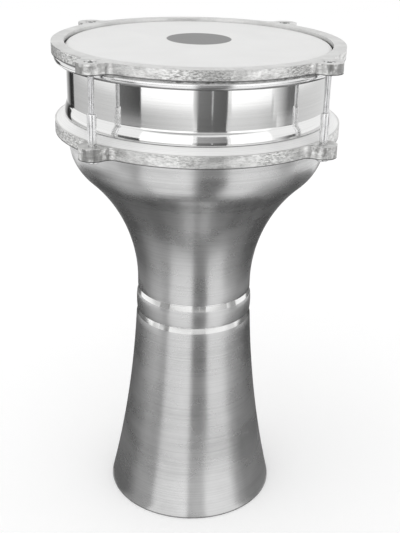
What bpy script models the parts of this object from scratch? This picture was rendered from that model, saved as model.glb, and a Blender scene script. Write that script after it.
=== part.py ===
"""A goblet drum: turned aluminium shell, plastic head, and a ring that four screws pull down.

Units are metres and +Z is up. The origin is the centre of the foot's rim, on the floor, and the
drum's front is its -Y side. Heights are stacked from the floor up, each on the piece below it.
"""

import math

import bmesh
import bpy
from mathutils import Matrix, Vector

# Running gap between pieces that touch, and the facets in a full turn
CLEARANCE = 0.0003
TURN_STEPS = 56
SMALL_STEPS = 16

# Shell: the foot, which flares along one long arc from the waist to the floor
FOOT_FLARE = 0.0251
FOOT_HEIGHT = 0.1804
FOOT_ARC_RADIUS = 1.02
THROAT_PROUD = 0.0014

# Shell: two turned grooves with a crowned band between them
GROOVE_HEIGHT = 0.0064
GROOVE_DEPTH = 0.0012
BAND_HEIGHT = 0.0148
BAND_PROUD = 0.0008
BAND_CROWN = 0.0004

# Shell: the bowl, a hollow arc up from the neck and a round one into the wall
NECK_RADIUS = 0.0515
NECK_HEIGHT = 0.006
BOWL_ARC_RADIUS = 0.140
BOWL_CORNER_RADIUS = 0.042

# Shell: the wall and its shoulder, a low bead that the lower ring bears on
WALL_RADIUS = 0.110
WALL_THICKNESS = 0.0035
RING_SEAT_HEIGHT = 0.0231
SHOULDER_WIDTH = 0.0025
SHOULDER_ROUND = 0.020
SHOULDER_EDGE = 0.0007
SHOULDER_FILLET = 0.004
UPPER_WALL_HEIGHT = 0.0452
BEARING_EDGE_RADIUS = 0.003

# Drumhead
FILM_THICKNESS = 0.0004
FILM_COLLAR_HEIGHT = 0.0103
FILM_LIP_WIDTH = 0.0028
HOOP_WIDTH = 0.0092
HOOP_HEIGHT = 0.0068
HOOP_CROWN = 0.0022

# Cast rings and their ears
RING_WIDTH = 0.0107
RING_HEIGHT = 0.0086
RING_PROUD = 0.002
RING_BORE_GAP = 0.0006
LOWER_RING_WIDTH = 0.0107
LOWER_RING_HEIGHT = 0.0103
COLLAR_HEIGHT = 0.0043
COLLAR_STEP = 0.0002
RING_EDGE = 0.0007
EAR_COUNT = 4
EAR_FIRST_ANGLE = math.radians(-128.8)
SLEEVE_STAND_OFF = 0.0019
EAR_TIP_RADIUS = 0.0112
EAR_FILLET_RADIUS = 0.008

# Tension screws and sleeve nuts
SCREW_RADIUS = 0.0025
SCREW_HEAD_RADIUS = 0.00425
SCREW_HEAD_HEIGHT = 0.005
SCREW_HEAD_SUNK = 0.0007
SEAT_GAP = 0.0005
HEX_SOCKET_WIDTH = 0.004
HEX_SOCKET_DEPTH = 0.0026
SCREW_ENGAGEMENT = 0.018
SLEEVE_RADIUS = 0.0036
SLEEVE_HEIGHT = 0.0234
SLEEVE_BORE_SPARE = 0.004
SLEEVE_NECK_RADIUS = 0.003
SLEEVE_NECK_SHOWING = 0.0012
SLEEVE_HEAD_RADIUS = 0.005
SLEEVE_HEAD_HEIGHT = 0.0028
SLEEVE_SLOT_WIDTH = 0.0012
SLEEVE_SLOT_DEPTH = 0.0012
EDGE_BREAK = 0.0004

# Colours
POLISHED_METAL = (0.80, 0.80, 0.79, 1.0)
CAST_METAL = (0.66, 0.66, 0.65, 1.0)
PLATED_STEEL = (0.74, 0.74, 0.75, 1.0)
WHITE_PLASTIC = (0.82, 0.82, 0.81, 1.0)

# Heights, floor up
lower_groove_top = FOOT_HEIGHT + GROOVE_HEIGHT
band_top = lower_groove_top + BAND_HEIGHT
upper_groove_top = band_top + GROOVE_HEIGHT
bowl_start = upper_groove_top + NECK_HEIGHT
bowl_reach = BOWL_ARC_RADIUS + BOWL_CORNER_RADIUS
bowl_rise = math.sqrt(bowl_reach**2 - (NECK_RADIUS - WALL_RADIUS + bowl_reach) ** 2)
wall_start = bowl_start + bowl_rise
shoulder_bottom = wall_start + RING_SEAT_HEIGHT
shoulder_radius = WALL_RADIUS + SHOULDER_WIDTH
shoulder_centre = shoulder_bottom + SHOULDER_EDGE
fillet_reach = SHOULDER_ROUND + SHOULDER_FILLET
fillet_run = SHOULDER_ROUND + SHOULDER_FILLET - SHOULDER_WIDTH
shoulder_top = shoulder_centre + math.sqrt(fillet_reach**2 - fillet_run**2)
shell_top = shoulder_top + UPPER_WALL_HEIGHT
film_top = shell_top + CLEARANCE + FILM_THICKNESS
film_lip = film_top - FILM_COLLAR_HEIGHT
ring_top = film_top + RING_PROUD
ring_bottom = ring_top - RING_HEIGHT
hoop_top = ring_bottom - CLEARANCE
hoop_bottom = hoop_top - HOOP_HEIGHT
collar_top = shoulder_bottom - CLEARANCE
lower_ring_top = collar_top - COLLAR_HEIGHT
lower_ring_bottom = lower_ring_top - LOWER_RING_HEIGHT
screw_head_top = ring_top - SCREW_HEAD_SUNK
screw_head_bottom = screw_head_top - SCREW_HEAD_HEIGHT
barrel_bottom = lower_ring_top + SLEEVE_NECK_SHOWING
sleeve_top = barrel_bottom + SLEEVE_HEIGHT
screw_end = sleeve_top - SCREW_ENGAGEMENT
sleeve_head_top = lower_ring_bottom - CLEARANCE
sleeve_bottom = sleeve_head_top - SLEEVE_HEAD_HEIGHT

# Radii: up the shell, then from its wall outwards
band_radius = NECK_RADIUS + BAND_PROUD
throat_radius = NECK_RADIUS + THROAT_PROUD
foot_radius = throat_radius + FOOT_FLARE
film_inner = WALL_RADIUS + CLEARANCE
film_outer = film_inner + FILM_THICKNESS
hoop_inner = film_outer + CLEARANCE
hoop_radius = hoop_inner + HOOP_WIDTH
ring_inner = film_outer + RING_BORE_GAP
ring_radius = ring_inner + RING_WIDTH
lower_ring_inner = WALL_RADIUS + CLEARANCE
lower_ring_radius = lower_ring_inner + LOWER_RING_WIDTH
collar_inner = lower_ring_inner + RING_EDGE
collar_radius = lower_ring_radius - 2 * RING_EDGE
ear_circle_radius = lower_ring_radius + SLEEVE_STAND_OFF + SLEEVE_RADIUS

ear_angles = [EAR_FIRST_ANGLE + turn * math.tau / EAR_COUNT for turn in range(EAR_COUNT)]


def clear_scene():
    """Remove whatever the file started with."""
    for obj in list(bpy.data.objects):
        bpy.data.objects.remove(obj, do_unlink=True)


def new_collection(name):
    collection = bpy.data.collections.new(name)
    bpy.context.scene.collection.children.link(collection)
    return collection


def metal(name, colour, roughness):
    """A bare metal finish."""
    material = bpy.data.materials.new(name)
    material.use_nodes = True
    shader = material.node_tree.nodes["Principled BSDF"]
    shader.inputs["Base Color"].default_value = colour
    shader.inputs["Metallic"].default_value = 1.0
    shader.inputs["Roughness"].default_value = roughness
    return material


def plastic(name, colour, roughness):
    material = metal(name, colour, roughness)
    material.node_tree.nodes["Principled BSDF"].inputs["Metallic"].default_value = 0.0
    return material


def place(mesh, name, collection):
    obj = bpy.data.objects.new(name, mesh)
    collection.objects.link(obj)
    return obj


def hide_cutter(obj):
    obj.hide_render = True
    obj.display_type = "WIRE"
    return obj


def arc(start, end, radius, steps):
    """Points of an arc, (radius, height) each, after start and up to end.

    On a profile that runs down an outer side, a positive radius swells out and a negative one
    curves in.
    """
    first = Vector(start)
    last = Vector(end)
    chord = last - first
    outward = Vector((-chord.y, chord.x)).normalized()
    reach = math.sqrt(max(radius**2 - chord.length_squared / 4, 0.0))
    centre = (first + last) / 2 - outward * math.copysign(reach, radius)
    spoke = first - centre
    sweep = spoke.angle_signed(last - centre)
    points = []
    for step in range(1, steps + 1):
        angle = -sweep * step / steps
        points.append((
            centre.x + spoke.x * math.cos(angle) - spoke.y * math.sin(angle),
            centre.y + spoke.x * math.sin(angle) + spoke.y * math.cos(angle),
        ))
    return points


def turned(name, profile, collection, steps=TURN_STEPS, closed=False):
    """Turn a profile of (radius, height) points about Z. It runs down its outer side."""
    sketch = bmesh.new()
    points = [sketch.verts.new((radius, 0.0, height)) for radius, height in profile]
    for one, other in zip(points, points[1:]):
        sketch.edges.new((one, other))
    if closed:
        sketch.edges.new((points[-1], points[0]))
    mesh = bpy.data.meshes.new(name)
    sketch.to_mesh(mesh)
    sketch.free()
    obj = place(mesh, name, collection)
    turn = obj.modifiers.new("turn", "SCREW")
    turn.steps = steps
    turn.render_steps = steps
    turn.use_merge_vertices = True
    turn.merge_threshold = 0.00001
    return obj


def evaluated_mesh(obj):
    """The object's mesh with its modifiers, or its curve, worked out."""
    graph = bpy.context.evaluated_depsgraph_get()
    return bpy.data.meshes.new_from_object(obj.evaluated_get(graph))


def finish(obj, material, sharp_angle=math.radians(28)):
    """Keep the worked-out mesh, shaded smooth between its true edges."""
    mesh = evaluated_mesh(obj)
    mesh.materials.clear()
    mesh.materials.append(material)
    mesh.shade_smooth()
    mesh.set_sharp_from_angle(angle=sharp_angle)
    obj.modifiers.clear()
    obj.data = mesh
    return obj


def combine(obj, other, operation="DIFFERENCE"):
    boolean = obj.modifiers.new(operation.lower() + "_" + other.name, "BOOLEAN")
    boolean.operation = operation
    boolean.solver = "EXACT"
    boolean.object = other


def ear_centre(angle):
    return ear_circle_radius * math.cos(angle), ear_circle_radius * math.sin(angle)


def ring_outline(rim):
    """Plan of a ring with ears: each ear is a round tip, faired into the ring by two hollow arcs."""
    fillet_arm = rim + EAR_FILLET_RADIUS
    tip_arm = EAR_TIP_RADIUS + EAR_FILLET_RADIUS
    turn = math.acos(
        (fillet_arm**2 + ear_circle_radius**2 - tip_arm**2) / (2 * fillet_arm * ear_circle_radius)
    )
    share = EAR_TIP_RADIUS / tip_arm
    root = Vector((rim * math.cos(turn), -rim * math.sin(turn)))
    fillet_centre = root * fillet_arm / rim
    tip_centre = Vector((ear_circle_radius, 0.0))
    side = tip_centre.lerp(fillet_centre, share)
    first_half = [tuple(root)]
    first_half += arc(root, side, EAR_FILLET_RADIUS, 4)
    nose = (ear_circle_radius + EAR_TIP_RADIUS, 0.0)
    first_half += arc(side, nose, -EAR_TIP_RADIUS, 4)
    ear = first_half + [(x, -y) for x, y in reversed(first_half[:-1])]
    outline = []
    for angle in ear_angles:
        for x, y in ear:
            outline.append((
                x * math.cos(angle) - y * math.sin(angle),
                x * math.sin(angle) + y * math.cos(angle),
            ))
        start = angle + turn
        sweep = math.tau / EAR_COUNT - 2 * turn
        pieces = round(TURN_STEPS * sweep / math.tau)
        for piece in range(1, pieces):
            along = start + sweep * piece / pieces
            outline.append((rim * math.cos(along), rim * math.sin(along)))
    return outline


def circle(radius, steps):
    """Points of a circle, clockwise, which makes it a hole in an outline."""
    points = []
    for step in range(steps):
        angle = -math.tau * step / steps
        points.append((radius * math.cos(angle), radius * math.sin(angle)))
    return points


def cast_ring(name, rim, bore, bottom, height, collection):
    """A flat ring with ears, its edges broken all round, as a mesh."""
    curve = bpy.data.curves.new(name + "_plan", "CURVE")
    curve.dimensions = "2D"
    curve.fill_mode = "BOTH"
    curve.extrude = height / 2 - RING_EDGE
    curve.bevel_depth = RING_EDGE
    curve.bevel_resolution = 0
    curve.offset = -RING_EDGE
    for points in (ring_outline(rim), circle(bore, TURN_STEPS)):
        spline = curve.splines.new("POLY")
        spline.points.add(len(points) - 1)
        spline.use_cyclic_u = True
        for point, (x, y) in zip(spline.points, points):
            point.co = (x, y, 0.0, 1.0)
    plan = place(curve, name + "_plan", collection)
    plan.location.z = bottom + height / 2
    bpy.context.view_layer.update()
    ring = place(evaluated_mesh(plan), name, collection)
    ring.matrix_world = plan.matrix_world
    bpy.data.objects.remove(plan, do_unlink=True)
    weld = bmesh.new()
    weld.from_mesh(ring.data)
    bmesh.ops.remove_doubles(weld, verts=weld.verts, dist=0.00001)
    weld.to_mesh(ring.data)
    weld.free()
    return ring


def bolt_holes(name, radius, bottom, top, collection):
    """One cutter with a cylinder on each ear's centre."""
    holes = bmesh.new()
    for angle in ear_angles:
        x, y = ear_centre(angle)
        middle = Matrix.Translation((x, y, (bottom + top) / 2))
        bmesh.ops.create_cone(
            holes, cap_ends=True, segments=SMALL_STEPS, radius1=radius, radius2=radius,
            depth=top - bottom, matrix=middle,
        )
    mesh = bpy.data.meshes.new(name)
    holes.to_mesh(mesh)
    holes.free()
    return hide_cutter(place(mesh, name, collection))


def shell_outer_side():
    """The shell's outer side, bearing edge to foot."""
    edge = BEARING_EDGE_RADIUS
    bulge_centre = Vector((shoulder_radius - SHOULDER_ROUND, shoulder_centre))
    fillet_centre = Vector((WALL_RADIUS + SHOULDER_FILLET, shoulder_top))
    bulge_top = tuple(bulge_centre.lerp(fillet_centre, SHOULDER_ROUND / fillet_reach))
    bulge_side = (shoulder_radius, shoulder_centre)
    underside = (shoulder_radius - SHOULDER_EDGE, shoulder_bottom)
    corner_centre = Vector((WALL_RADIUS - BOWL_CORNER_RADIUS, wall_start))
    arc_centre = Vector((NECK_RADIUS + BOWL_ARC_RADIUS, bowl_start))
    bend = tuple(corner_centre.lerp(arc_centre, BOWL_CORNER_RADIUS / bowl_reach))

    side = [(WALL_RADIUS - edge, shell_top)]
    side += arc(side[-1], (WALL_RADIUS, shell_top - edge), edge, 3)
    side.append((WALL_RADIUS, shoulder_top))
    side += arc(side[-1], bulge_top, -SHOULDER_FILLET, 3)
    side += arc(side[-1], bulge_side, SHOULDER_ROUND, 4)
    side += arc(side[-1], underside, SHOULDER_EDGE, 1)
    side.append((WALL_RADIUS, shoulder_bottom))
    side.append((WALL_RADIUS, wall_start))
    side += arc(side[-1], bend, BOWL_CORNER_RADIUS, 4)
    side += arc(side[-1], (NECK_RADIUS, bowl_start), -BOWL_ARC_RADIUS, 7)
    side.append((NECK_RADIUS, upper_groove_top))
    side.append((NECK_RADIUS - GROOVE_DEPTH, upper_groove_top))
    side.append((band_radius, band_top))
    crown_radius = (BAND_HEIGHT**2 / 4 + BAND_CROWN**2) / (2 * BAND_CROWN)
    side += arc(side[-1], (band_radius, lower_groove_top), crown_radius, 2)
    side.append((band_radius - GROOVE_DEPTH, lower_groove_top))
    side.append((throat_radius, FOOT_HEIGHT))
    side += arc(side[-1], (foot_radius, 0.0), -FOOT_ARC_RADIUS, 6)
    return side


def shell_inner_side():
    """The shell's inner side, foot to bearing edge, one wall's thickness inside the outer one."""
    wall = WALL_THICKNESS
    bore = NECK_RADIUS - wall
    corner_centre = Vector((WALL_RADIUS - BOWL_CORNER_RADIUS, wall_start))
    arc_centre = Vector((NECK_RADIUS + BOWL_ARC_RADIUS, bowl_start))
    share = (BOWL_CORNER_RADIUS - wall) / bowl_reach
    bend = tuple(corner_centre.lerp(arc_centre, share))
    side = [(foot_radius - wall, 0.0)]
    side += arc(side[-1], (bore, FOOT_HEIGHT), FOOT_ARC_RADIUS, 4)
    side.append((bore, bowl_start))
    side += arc(side[-1], bend, BOWL_ARC_RADIUS + wall, 5)
    side += arc(side[-1], (WALL_RADIUS - wall, wall_start), -(BOWL_CORNER_RADIUS - wall), 3)
    side.append((WALL_RADIUS - wall, shell_top - EDGE_BREAK))
    return side


def make_shell(collection):
    shell = turned("shell", shell_outer_side() + shell_inner_side(), collection, closed=True)
    return finish(shell, metal("turned_aluminium", POLISHED_METAL, 0.22))


def make_head_film(collection):
    """The membrane: flat, over the bearing edge, down the wall and out into the hoop."""
    bend = BEARING_EDGE_RADIUS + CLEARANCE + FILM_THICKNESS
    side = [(0.0, film_top), (film_outer - bend, film_top)]
    side += arc(side[-1], (film_outer, film_top - bend), bend, 3)
    side.append((film_outer, film_lip))
    side.append((film_outer + FILM_LIP_WIDTH, film_lip))
    film = turned("head_film", side, collection)
    skin = film.modifiers.new("thickness", "SOLIDIFY")
    skin.thickness = FILM_THICKNESS
    skin.offset = -1.0
    skin.use_even_offset = True
    return finish(film, plastic("head_plastic", WHITE_PLASTIC, 0.35))


def make_flesh_hoop(collection):
    """A crowned metal band with a slot inside that holds the film's lip."""
    slot_radius = film_outer + FILM_LIP_WIDTH + CLEARANCE
    slot_top = film_lip + CLEARANCE
    slot_bottom = film_lip - FILM_THICKNESS - CLEARANCE
    crown_radius = (HOOP_HEIGHT**2 / 4 + HOOP_CROWN**2) / (2 * HOOP_CROWN)
    shoulder = hoop_radius - HOOP_CROWN
    side = [(hoop_inner, hoop_top), (shoulder, hoop_top)]
    side += arc(side[-1], (shoulder, hoop_bottom), crown_radius, 5)
    side.append((hoop_inner, hoop_bottom))
    side.append((hoop_inner, slot_bottom))
    side.append((slot_radius, slot_bottom))
    side.append((slot_radius, slot_top))
    side.append((hoop_inner, slot_top))
    hoop = turned("flesh_hoop", side, collection, closed=True)
    return finish(hoop, metal("polished_hoop", POLISHED_METAL, 0.12))


def make_tension_ring(collection, cutters):
    """The rim that pulls the head down, with a seat for a screw's head in each ear."""
    ring = cast_ring("tension_ring", ring_radius, ring_inner, ring_bottom, RING_HEIGHT, collection)
    past = RING_HEIGHT
    holes = bolt_holes(
        "tension_ring_holes", SCREW_RADIUS + CLEARANCE, ring_bottom - past, ring_top + past, cutters
    )
    seats = bolt_holes(
        "tension_ring_seats", SCREW_HEAD_RADIUS + SEAT_GAP, screw_head_bottom - CLEARANCE,
        ring_top + past, cutters,
    )
    combine(ring, holes)
    combine(ring, seats)
    return finish(ring, metal("cast_tension_ring", CAST_METAL, 0.38))


def make_lower_ring(collection, cutters):
    """The ring that holds the sleeve nuts. Its sloping collar bears on the shell's shoulder."""
    ring = cast_ring(
        "lower_ring", lower_ring_radius, lower_ring_inner, lower_ring_bottom, LOWER_RING_HEIGHT, collection
    )
    past = LOWER_RING_HEIGHT
    rooted = lower_ring_top - LOWER_RING_HEIGHT / 2
    side = [(collar_inner, collar_top), (shoulder_radius, collar_top)]
    side.append((collar_radius, lower_ring_top + COLLAR_STEP))
    side.append((collar_radius, rooted))
    side.append((collar_inner, rooted))
    collar = turned("lower_ring_collar", side, cutters, closed=True)
    combine(ring, hide_cutter(collar), "UNION")
    holes = bolt_holes(
        "lower_ring_holes", SLEEVE_NECK_RADIUS + CLEARANCE, lower_ring_bottom - past,
        lower_ring_top + past, cutters,
    )
    combine(ring, holes)
    return finish(ring, metal("cast_lower_ring", CAST_METAL, 0.42))


def screw_mesh(collection, cutters):
    """A long socket-head screw on the Z axis, its head up."""
    side = [
        (0.0, screw_head_top),
        (SCREW_HEAD_RADIUS - EDGE_BREAK, screw_head_top),
        (SCREW_HEAD_RADIUS, screw_head_top - EDGE_BREAK),
        (SCREW_HEAD_RADIUS, screw_head_bottom),
        (SCREW_RADIUS, screw_head_bottom),
        (SCREW_RADIUS, screw_end + EDGE_BREAK),
        (SCREW_RADIUS - EDGE_BREAK, screw_end),
        (0.0, screw_end),
    ]
    screw = turned("screw_blank", side, collection, steps=SMALL_STEPS)
    socket = bmesh.new()
    across_corners = HEX_SOCKET_WIDTH / math.cos(math.pi / 6)
    bmesh.ops.create_cone(
        socket, cap_ends=True, segments=6, radius1=across_corners / 2, radius2=across_corners / 2,
        depth=2 * HEX_SOCKET_DEPTH, matrix=Matrix.Translation((0.0, 0.0, screw_head_top)),
    )
    mesh = bpy.data.meshes.new("hex_socket")
    socket.to_mesh(mesh)
    socket.free()
    combine(screw, hide_cutter(place(mesh, "hex_socket", cutters)))
    finish(screw, metal("plated_steel", PLATED_STEEL, 0.2))
    finished = screw.data
    bpy.data.objects.remove(screw, do_unlink=True)
    return finished


def sleeve_mesh(collection, cutters):
    """A long nut on the Z axis: a barrel with a blind bore, a neck, and a slotted head below."""
    bore = SCREW_RADIUS + CLEARANCE
    bore_bottom = screw_end - SLEEVE_BORE_SPARE
    side = [
        (0.0, bore_bottom),
        (bore, bore_bottom),
        (bore, sleeve_top),
        (SLEEVE_RADIUS - EDGE_BREAK, sleeve_top),
        (SLEEVE_RADIUS, sleeve_top - EDGE_BREAK),
        (SLEEVE_RADIUS, barrel_bottom + EDGE_BREAK),
        (SLEEVE_NECK_RADIUS, barrel_bottom),
        (SLEEVE_NECK_RADIUS, sleeve_head_top),
        (SLEEVE_HEAD_RADIUS, sleeve_head_top),
        (SLEEVE_HEAD_RADIUS, sleeve_bottom + EDGE_BREAK),
        (SLEEVE_HEAD_RADIUS - EDGE_BREAK, sleeve_bottom),
        (0.0, sleeve_bottom),
    ]
    sleeve = turned("sleeve_blank", side, collection, steps=SMALL_STEPS)
    slot = bmesh.new()
    size = Matrix.Diagonal((4 * SLEEVE_HEAD_RADIUS, SLEEVE_SLOT_WIDTH, 2 * SLEEVE_SLOT_DEPTH, 1.0))
    bmesh.ops.create_cube(slot, size=1.0, matrix=Matrix.Translation((0.0, 0.0, sleeve_bottom)) @ size)
    mesh = bpy.data.meshes.new("head_slot")
    slot.to_mesh(mesh)
    slot.free()
    combine(sleeve, hide_cutter(place(mesh, "head_slot", cutters)))
    finish(sleeve, metal("plated_sleeve", PLATED_STEEL, 0.18))
    finished = sleeve.data
    bpy.data.objects.remove(sleeve, do_unlink=True)
    return finished


def build():
    clear_scene()
    drum = new_collection("goblet_drum")
    cutters = new_collection("cutters")
    lift = bpy.data.objects.new("head_lift", None)
    drum.objects.link(lift)

    make_shell(drum)
    make_lower_ring(drum, cutters)
    moving = [make_tension_ring(drum, cutters), make_flesh_hoop(drum), make_head_film(drum)]
    screw = screw_mesh(drum, cutters)
    sleeve = sleeve_mesh(drum, cutters)
    for number, angle in enumerate(ear_angles, start=1):
        x, y = ear_centre(angle)
        nut = place(sleeve, f"sleeve_nut_{number}", drum)
        nut.location = (x, y, 0.0)
        nut.rotation_euler.z = angle
        rod = place(screw, f"tension_screw_{number}", drum)
        rod.location = (x, y, 0.0)
        rod.rotation_euler.z = angle
        moving.append(rod)
    for piece in moving:
        piece.parent = lift
    cutters.hide_render = True


build()
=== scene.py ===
"""The goblet drum's finish: polished and brushed shell, cast rings, threaded screws and head."""

import math

import bmesh
import bpy
from mathutils import Matrix, Vector, noise


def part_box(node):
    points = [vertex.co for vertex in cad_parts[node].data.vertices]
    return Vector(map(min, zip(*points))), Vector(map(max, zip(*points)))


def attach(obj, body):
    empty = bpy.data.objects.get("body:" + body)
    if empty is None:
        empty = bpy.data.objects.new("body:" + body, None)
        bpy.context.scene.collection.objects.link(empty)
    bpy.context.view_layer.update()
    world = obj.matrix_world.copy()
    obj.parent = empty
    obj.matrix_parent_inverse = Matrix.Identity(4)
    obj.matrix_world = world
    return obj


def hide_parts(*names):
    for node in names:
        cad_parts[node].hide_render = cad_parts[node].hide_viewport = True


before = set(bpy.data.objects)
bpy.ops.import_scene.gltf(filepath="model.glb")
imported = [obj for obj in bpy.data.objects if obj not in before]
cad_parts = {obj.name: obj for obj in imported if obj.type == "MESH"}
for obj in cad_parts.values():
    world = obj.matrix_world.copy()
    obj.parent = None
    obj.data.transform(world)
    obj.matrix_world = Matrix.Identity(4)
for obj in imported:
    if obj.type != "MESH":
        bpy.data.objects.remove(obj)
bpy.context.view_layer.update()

# Sizes and places that the frame's boxes give, each box as its lowest and its highest corner
shell_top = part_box("shell")[1].z
film_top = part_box("head_film")[1].z
ring_low, ring_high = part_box("tension_ring")
lower_low, lower_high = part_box("lower_ring")
hoop_low, hoop_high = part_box("flesh_hoop")
screw_low, screw_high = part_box("tension_screw_1")
nut_low, nut_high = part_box("sleeve_nut_1")
EAR_COUNT = 4
EARS = []
for number in range(1, EAR_COUNT + 1):
    low_corner, high_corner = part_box(f"tension_screw_{number}")
    EARS.append((low_corner + high_corner) / 2)

# Sizes inside those boxes, in metres, as the CAD has them
FOOT_RADIUS = 0.078
FOOT_HEIGHT = 0.1804
FOOT_ARC_RADIUS = 1.02
THROAT_RADIUS = 0.0529
GROOVE_HEIGHT = 0.0064
GROOVE_DEPTH = 0.0012
BAND_HEIGHT = 0.0148
BAND_RADIUS = 0.0523
BAND_CROWN = 0.0004
NECK_RADIUS = 0.0515
NECK_HEIGHT = 0.006
BOWL_ARC_RADIUS = 0.140
BOWL_CORNER_RADIUS = 0.042
WALL_RADIUS = 0.110
WALL_THICKNESS = 0.0035
RING_SEAT_HEIGHT = 0.0231
SHOULDER_RADIUS = 0.1125
SHOULDER_ROUND = 0.020
SHOULDER_EDGE = 0.0007
SHOULDER_FILLET = 0.004
BEARING_EDGE_RADIUS = 0.003
CLEARANCE = 0.0003
FILM_THICKNESS = 0.0004
FILM_COLLAR_HEIGHT = 0.0103
FILM_LIP_WIDTH = 0.0028
DISC_RADIUS = 0.0275
DISC_BACK = 0.016
HOOP_CROWN = 0.0022
RING_BORE_GAP = 0.0006
RING_EDGE = 0.0007
COLLAR_HEIGHT = 0.0043
COLLAR_STEP = 0.0002
COLLAR_EDGE = 0.0006
EAR_CIRCLE_RADIUS = 0.1265
EAR_TIP_RADIUS = 0.0112
EAR_FILLET_RADIUS = 0.008
SCREW_RADIUS = 0.0025
SCREW_HEAD_RADIUS = 0.00425
SCREW_HEAD_HEIGHT = 0.005
SCREW_HEAD_EDGE = 0.0005
SEAT_GAP = 0.0005
SEAT_FLARE = 0.0005
HEX_SOCKET_WIDTH = 0.004
HEX_SOCKET_DEPTH = 0.0026
PLAIN_SHANK = 0.0035
THREAD_PITCH = 0.0008
THREAD_DEPTH = 0.00045
THREAD_END = 0.0002
THREAD_ROOTED = 0.0003
SLEEVE_RADIUS = 0.0036
SLEEVE_NECK_RADIUS = 0.003
SLEEVE_NECK_SHOWING = 0.0012
SLEEVE_HEAD_RADIUS = 0.005
SLEEVE_HEAD_HEIGHT = 0.0028
SLEEVE_SLOT_WIDTH = 0.0012
SLEEVE_SLOT_DEPTH = 0.0012
SLEEVE_BORE_SPARE = 0.004
SLEEVE_EDGE = 0.0002
EDGE_BREAK = 0.0004

# Heights and radii that follow
upper_groove_top = FOOT_HEIGHT + 2 * GROOVE_HEIGHT + BAND_HEIGHT
band_top = upper_groove_top - GROOVE_HEIGHT
band_bottom = band_top - BAND_HEIGHT
bowl_start = upper_groove_top + NECK_HEIGHT
bowl_reach = BOWL_ARC_RADIUS + BOWL_CORNER_RADIUS
bowl_rise = math.sqrt(bowl_reach**2 - (NECK_RADIUS - WALL_RADIUS + bowl_reach) ** 2)
wall_start = bowl_start + bowl_rise
shoulder_bottom = wall_start + RING_SEAT_HEIGHT
shoulder_centre = shoulder_bottom + SHOULDER_EDGE
fillet_reach = SHOULDER_ROUND + SHOULDER_FILLET
fillet_run = WALL_RADIUS + fillet_reach - SHOULDER_RADIUS
shoulder_top = shoulder_centre + math.sqrt(fillet_reach**2 - fillet_run**2)
film_outer = WALL_RADIUS + CLEARANCE + FILM_THICKNESS
film_lip = film_top - FILM_COLLAR_HEIGHT
ring_inner = film_outer + RING_BORE_GAP
lower_ring_top = lower_high.z - COLLAR_HEIGHT

# How fine the meshes are, and how far a cutter passes what it cuts
TURN = math.tau
SPIN_STEPS = 192
SMALL_SPIN_STEPS = 32
CUTTER_SPIN_STEPS = 48
BORE_STEPS = 320
PLAN_SPACING = 0.0012
SIDE_CUTS = 7
CUTTER_PAST = 0.005
MERGE_DISTANCE = 0.000001

# The studio's cards: how far most of them stand, how high they lie, and how finely they bend
CARD_RADIUS = 1.3
CARD_LIFT = 0.0004
CARD_FACET_DEGREES = 4


def polar(radius, angle):
    """The place at a radius and an angle, in radians from +X."""
    return radius * math.cos(angle), radius * math.sin(angle)


def arc(start, end, radius, steps):
    """Points of an arc after start. Running down an outer side, a positive radius swells out."""
    first = Vector(start)
    last = Vector(end)
    chord = last - first
    outward = Vector((-chord.y, chord.x)).normalized()
    reach = math.sqrt(max(radius**2 - chord.length_squared / 4, 0.0))
    centre = (first + last) / 2 - outward * math.copysign(reach, radius)
    spoke = first - centre
    sweep = spoke.angle_signed(last - centre)
    points = []
    for step in range(1, steps + 1):
        angle = -sweep * step / steps
        points.append((
            centre.x + spoke.x * math.cos(angle) - spoke.y * math.sin(angle),
            centre.y + spoke.x * math.sin(angle) + spoke.y * math.cos(angle),
        ))
    return points


def crown_radius(height, crown):
    """The radius of an arc over a height that swells by a crown at its middle."""
    return (height**2 / 4 + crown**2) / (2 * crown)


def softened(points, radius, closed=False, sharpest=math.radians(20), steps=3):
    """The same outline with each corner sharper than that rounded, by up to the radius given."""
    longest_share = 0.45
    made = []
    count = len(points)
    for index, point in enumerate(points):
        here = Vector(point)
        if not closed and index in (0, count - 1):
            made.append(tuple(here))
            continue
        before = Vector(points[index - 1]) - here
        after = Vector(points[(index + 1) % count]) - here
        turn = math.pi - before.angle(after)
        if turn < sharpest:
            made.append(tuple(here))
            continue
        room = min(before.length * longest_share, after.length * longest_share)
        setback = min(radius * math.tan(turn / 2), room)
        start = here + before.normalized() * setback
        end = here + after.normalized() * setback
        for step in range(steps + 1):
            share = step / steps
            one = start.lerp(here, share)
            other = here.lerp(end, share)
            made.append(tuple(one.lerp(other, share)))
    return made


def finished(bm, name, sharp=math.radians(40)):
    """Turn the bmesh into an object, shaded smooth between its true edges."""
    mesh = bpy.data.meshes.new(name)
    bm.to_mesh(mesh)
    bm.free()
    mesh.shade_smooth()
    mesh.set_sharp_from_angle(angle=sharp)
    obj = bpy.data.objects.new(name, mesh)
    bpy.context.scene.collection.objects.link(obj)
    return obj


def spun(points, closed=False, steps=SPIN_STEPS):
    """A bmesh turned from (radius, height) points about Z."""
    bm = bmesh.new()
    line = [bm.verts.new((radius, 0.0, height)) for radius, height in points]
    edges = [bm.edges.new(pair) for pair in zip(line, line[1:])]
    if closed:
        edges.append(bm.edges.new((line[-1], line[0])))
    bmesh.ops.spin(
        bm, geom=line + edges, cent=(0, 0, 0), axis=(0, 0, 1), dvec=(0, 0, 0),
        angle=TURN, steps=steps, use_merge=True, use_duplicate=False,
    )
    bmesh.ops.remove_doubles(bm, verts=bm.verts, dist=MERGE_DISTANCE)
    bmesh.ops.recalc_face_normals(bm, faces=bm.faces)
    return bm


def turned_piece(side, name, edge=EDGE_BREAK):
    """A piece turned from a closed outline, with its corners rounded."""
    return finished(spun(softened(side, edge, closed=True), closed=True), name)


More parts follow.
